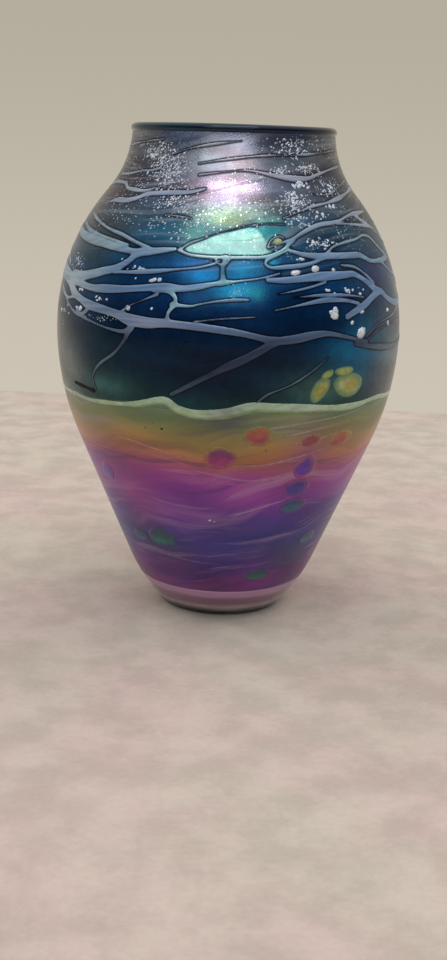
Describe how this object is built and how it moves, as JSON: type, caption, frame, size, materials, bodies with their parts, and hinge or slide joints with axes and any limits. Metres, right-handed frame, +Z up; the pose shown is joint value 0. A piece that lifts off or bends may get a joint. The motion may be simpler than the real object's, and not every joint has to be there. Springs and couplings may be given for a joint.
{
  "type": "blown glass vase",
  "caption": "Shouldered art glass vase with a trailed lustre web above a horizon line and inlaid cane slices below, on a clear foot.",
  "frame": {"origin": "middle of the resting face, on the surface that the vase stands on", "axes": "+Z up along the vase's axis, -Y towards the front"},
  "size_m": [0.1531, 0.1531, 0.216],
  "materials": {
    "clear_glass": "clear, glossy",
    "foot_glass": "clear, polished",
    "cobalt_glass": "glossy, dark cobalt",
    "pale_green_glass": "opaque pale green, glossy",
    "midnight_lustre_glass": "iridescent lustre over midnight blue",
    "amber_olive_glass": "amber to olive, glossy",
    "magenta_indigo_glass": "magenta to indigo, glossy",
    "black_glass": "glossy black",
    "amber_glass": "translucent amber",
    "yellow_green_glass": "opal yellow green",
    "red_orange_glass": "opal red orange",
    "magenta_glass": "opal magenta",
    "dark_red_glass": "opal dark red",
    "violet_glass": "opal violet",
    "blue_glass": "opal blue",
    "teal_glass": "opal teal",
    "green_glass": "opal green",
    "pale_strand_glass": "pale pink threads",
    "blue_strand_glass": "pale blue threads",
    "silver_trail_glass": "silver lustre, slightly raised",
    "dichroic_flake": "mirror-bright flakes"
  },
  "bodies": {
    "root": {"belly_trail_back_left": "silver_trail_glass", "belly_trail_back_right": "silver_trail_glass", "belly_trail_front": "silver_trail_glass", "belly_trail_left": "silver_trail_glass", "belly_trail_right": "silver_trail_glass", "blue_murrine": "blue_glass", "blue_strand": "blue_strand_glass", "cell_flakes_left": "dichroic_flake", "cell_flakes_right": "dichroic_flake", "cell_loop_trail": "silver_trail_glass", "clear_foot": "foot_glass", "core_belly_wall": "clear_glass", "core_floor": "clear_glass", "core_lower_wall": "clear_glass", "core_neck_wall": "clear_glass", "core_shoulder_wall": "clear_glass", "dark_chip": "black_glass", "dark_red_murrine": "dark_red_glass", "diagonal_trail": "silver_trail_glass", "diagonal_trail_back": "silver_trail_glass", "fine_thread_left": "silver_trail_glass", "fine_thread_right": "silver_trail_glass", "green_murrine": "green_glass", "horizon_colour_layer": "amber_olive_glass", "horizon_ribbon": "pale_green_glass", "left_inner_trail": "silver_trail_glass", "left_middle_trail": "silver_trail_glass", "left_rising_trail": "silver_trail_glass", "lens_lower_trail": "silver_trail_glass", "lens_upper_trail": "silver_trail_glass", "lip_wrap": "cobalt_glass", "lower_colour_overlay": "magenta_indigo_glass", "magenta_murrine": "magenta_glass", "middle_trail_high": "silver_trail_glass", "middle_trail_low": "silver_trail_glass", "neck_flakes_back": "dichroic_flake", "neck_flakes_left": "dichroic_flake", "neck_flakes_right": "dichroic_flake", "neck_thread_left": "silver_trail_glass", "neck_thread_right": "silver_trail_glass", "pale_strand_back": "pale_strand_glass", "pale_strand_high": "pale_strand_glass", "pale_strand_low": "pale_strand_glass", "petal_eyes": "amber_glass", "petals_back": "yellow_green_glass", "petals_front": "yellow_green_glass", "red_orange_murrine": "red_orange_glass", "right_cell_trail": "silver_trail_glass", "right_fork_trail": "silver_trail_glass", "right_stub_trail": "silver_trail_glass", "right_upper_trail": "silver_trail_glass", "shoulder_thread_left": "silver_trail_glass", "shoulder_thread_right_high": "silver_trail_glass", "shoulder_thread_right_low": "silver_trail_glass", "shoulder_trail_back": "silver_trail_glass", "shoulder_trail_back_left": "silver_trail_glass", "shoulder_trail_left": "silver_trail_glass", "teal_murrine": "teal_glass", "upper_colour_overlay": "midnight_lustre_glass", "violet_murrine": "violet_glass"}
  },
  "joints": []
}
